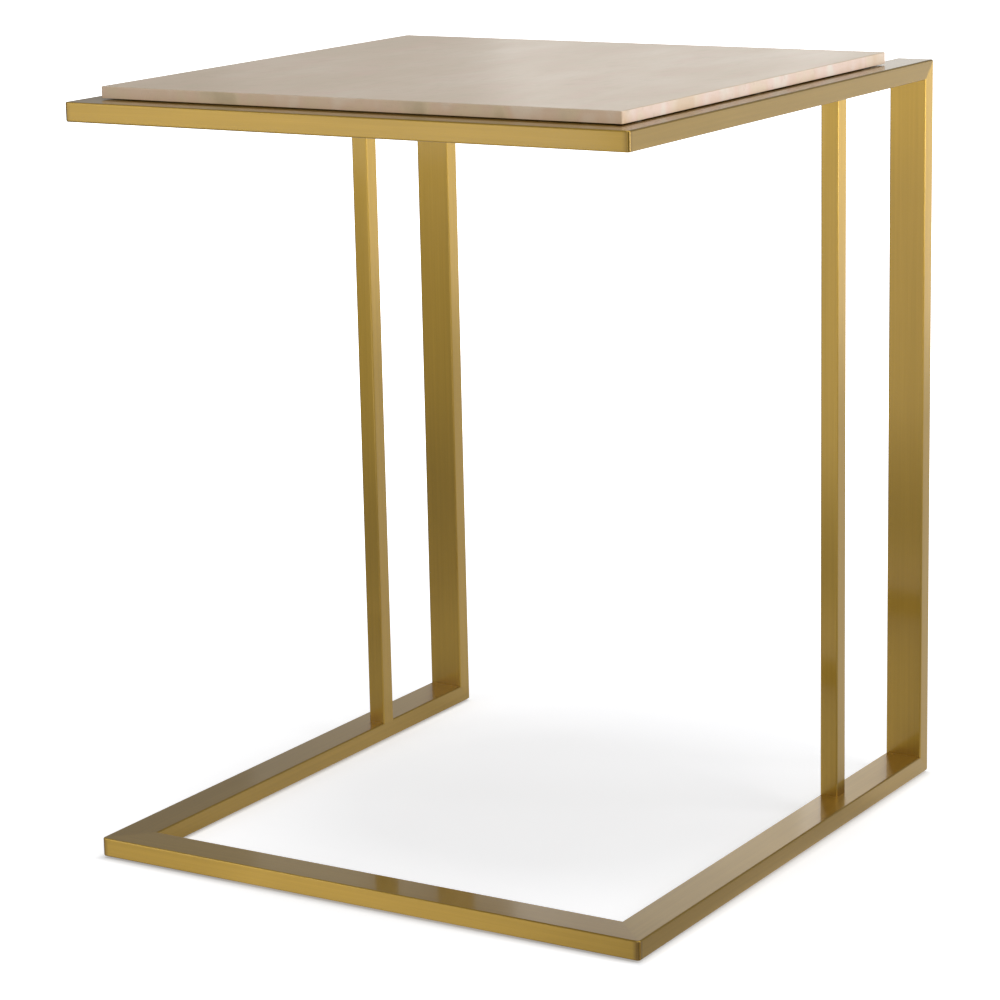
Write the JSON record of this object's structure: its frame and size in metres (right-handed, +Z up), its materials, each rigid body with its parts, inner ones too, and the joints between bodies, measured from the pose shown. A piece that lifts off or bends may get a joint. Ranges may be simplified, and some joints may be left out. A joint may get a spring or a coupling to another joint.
{
  "type": "side table",
  "caption": "C-shaped side table: brass-finished rectangular tube frame, open at the front to slide over a sofa, paired posts at the back, thin stone top on a shadow gap",
  "frame": {"origin": "on the floor, under the middle of the frame's footprint", "axes": "+X to the right seen from the open front, -Y is the open front that slides over the sofa, +Z up"},
  "size_m": [0.48, 0.495, 0.6015],
  "materials": {
    "brass_tube": "steel tube brushed along its length, with a brass-coloured coating",
    "brass_tab": "steel plate with the frame's brass-coloured coating",
    "top_stone": "honed pale beige and pink stone",
    "board_plywood": "birch plywood, lacquered",
    "screw_zinc": "zinc-plated",
    "clear_pad": "clear soft pad",
    "glide_nylon": "moulded black nylon"
  },
  "bodies": {
    "root": {"backing_board": "board_plywood", "base_front_rail": "brass_tube", "base_left_rail": "brass_tube", "base_right_rail": "brass_tube", "front_left_glide": "glide_nylon", "front_left_tab": "brass_tab", "front_right_glide": "glide_nylon", "front_right_tab": "brass_tab", "left_back_post": "brass_tube", "left_front_pad": "clear_pad", "left_inner_post": "brass_tube", "left_middle_pad": "clear_pad", "left_rear_pad": "clear_pad", "rear_left_glide": "glide_nylon", "rear_left_tab": "brass_tab", "rear_right_glide": "glide_nylon", "rear_right_tab": "brass_tab", "right_back_post": "brass_tube", "right_front_pad": "clear_pad", "right_inner_post": "brass_tube", "right_middle_pad": "clear_pad", "right_rear_pad": "clear_pad", "stone_top": "top_stone", "tab_screws": "screw_zinc", "top_cross_rail": "brass_tube", "top_front_rail": "brass_tube", "top_left_rail": "brass_tube", "top_right_rail": "brass_tube"}
  },
  "joints": []
}
